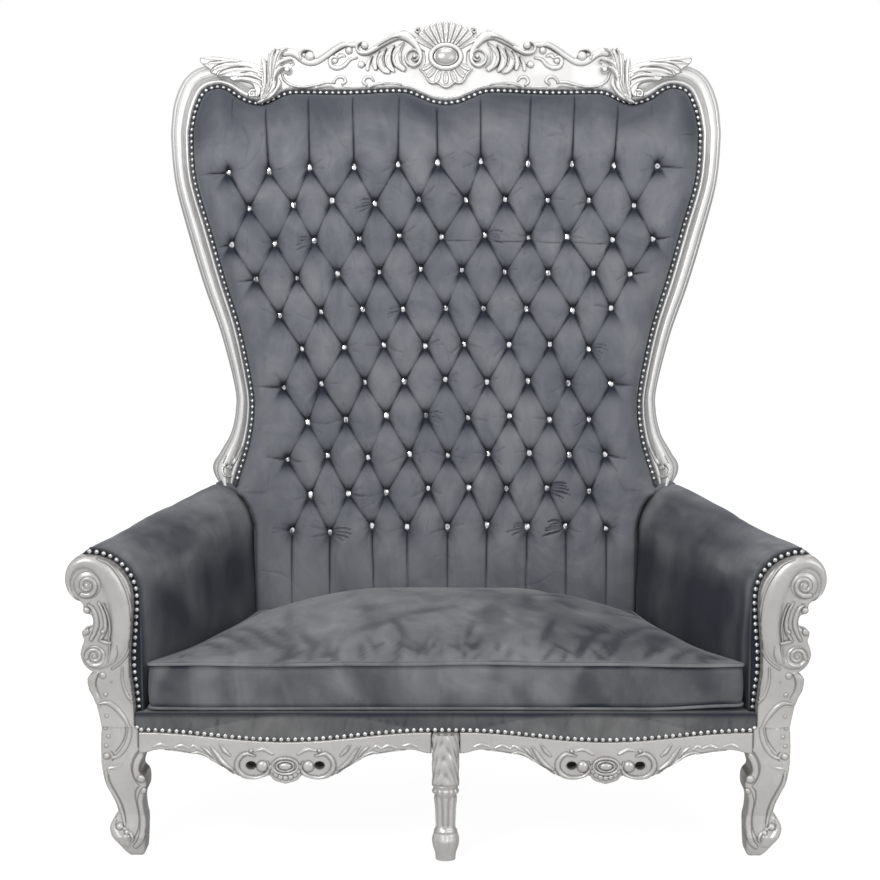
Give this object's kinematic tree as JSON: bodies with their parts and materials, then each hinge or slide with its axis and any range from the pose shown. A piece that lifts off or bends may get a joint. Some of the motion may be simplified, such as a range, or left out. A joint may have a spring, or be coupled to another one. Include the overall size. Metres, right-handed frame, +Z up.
{
  "type": "throne loveseat",
  "caption": "High backed throne loveseat: carved silver leafed frame, diamond tufted velvet back, splayed scroll arms, lobed front aprons and a loose box cushion.",
  "frame": {"origin": "on the floor under the centre of the bounding box, midway between the arms", "axes": "+Z up, +X to the right of someone who looks at the front, -Y out of the front"},
  "size_m": [1.5828, 0.8664, 1.8334],
  "materials": {
    "carved_silver": "silver leaf over carved wood, satin and metallic, grey patina in the grooves",
    "velvet": "mid grey velvet with a brushed nap",
    "nail_heads": "bright nickel domes",
    "frame_beech": "bare sawn beech",
    "jute_webbing": "woven jute",
    "lining": "black non-woven lining"
  },
  "bodies": {
    "frame": {"crest_rail": "carved_silver", "crest_shell": "carved_silver", "crest_cabochon": "carved_silver", "crest_scroll_left": "carved_silver", "crest_scroll_right": "carved_silver", "crest_acanthus_left": "carved_silver", "crest_acanthus_right": "carved_silver", "side_leaf_left": "carved_silver", "side_leaf_right": "carved_silver", "shoulder_leaf_left": "carved_silver", "shoulder_leaf_right": "carved_silver", "back_stile_left": "carved_silver", "back_stile_right": "carved_silver", "back_pad": "velvet", "back_panel": "velvet", "back_cross_rail": "frame_beech", "back_post_left": "frame_beech", "back_post_right": "frame_beech", "nail_trim_back": "nail_heads", "arm_facing_left": "carved_silver", "arm_facing_right": "carved_silver", "arm_scroll_left": "carved_silver", "arm_scroll_right": "carved_silver", "arm_pad_left": "velvet", "arm_pad_right": "velvet", "arm_panel_left": "velvet", "arm_panel_right": "velvet", "arm_rail_left": "frame_beech", "arm_rail_right": "frame_beech", "arm_post_left": "frame_beech", "arm_post_right": "frame_beech", "nail_trim_arm_left": "nail_heads", "nail_trim_arm_right": "nail_heads", "apron_left": "carved_silver", "apron_right": "carved_silver", "apron_boss_left": "carved_silver", "apron_boss_right": "carved_silver", "front_leg_left": "carved_silver", "front_leg_right": "carved_silver", "front_leg_centre": "carved_silver", "rear_leg_left": "carved_silver", "rear_leg_right": "carved_silver", "rear_leg_centre": "carved_silver", "seat_rail_front": "frame_beech", "seat_rail_back": "frame_beech", "seat_rail_left": "velvet", "seat_rail_right": "velvet", "seat_rail_centre": "frame_beech", "corner_block_left": "frame_beech", "corner_block_right": "frame_beech", "seat_webbing": "jute_webbing", "seat_deck": "velvet", "dust_cover": "lining", "front_border": "velvet", "nail_trim_front": "nail_heads"},
    "cushion": {"seat_cushion": "velvet", "cushion_welt_top": "velvet", "cushion_welt_bottom": "velvet"}
  },
  "joints": [
    {"name": "cushion_lift", "type": "slide", "parent": "frame", "child": "cushion", "axis": [0, 0, 1], "range_m": [0, 0.3]}
  ]
}
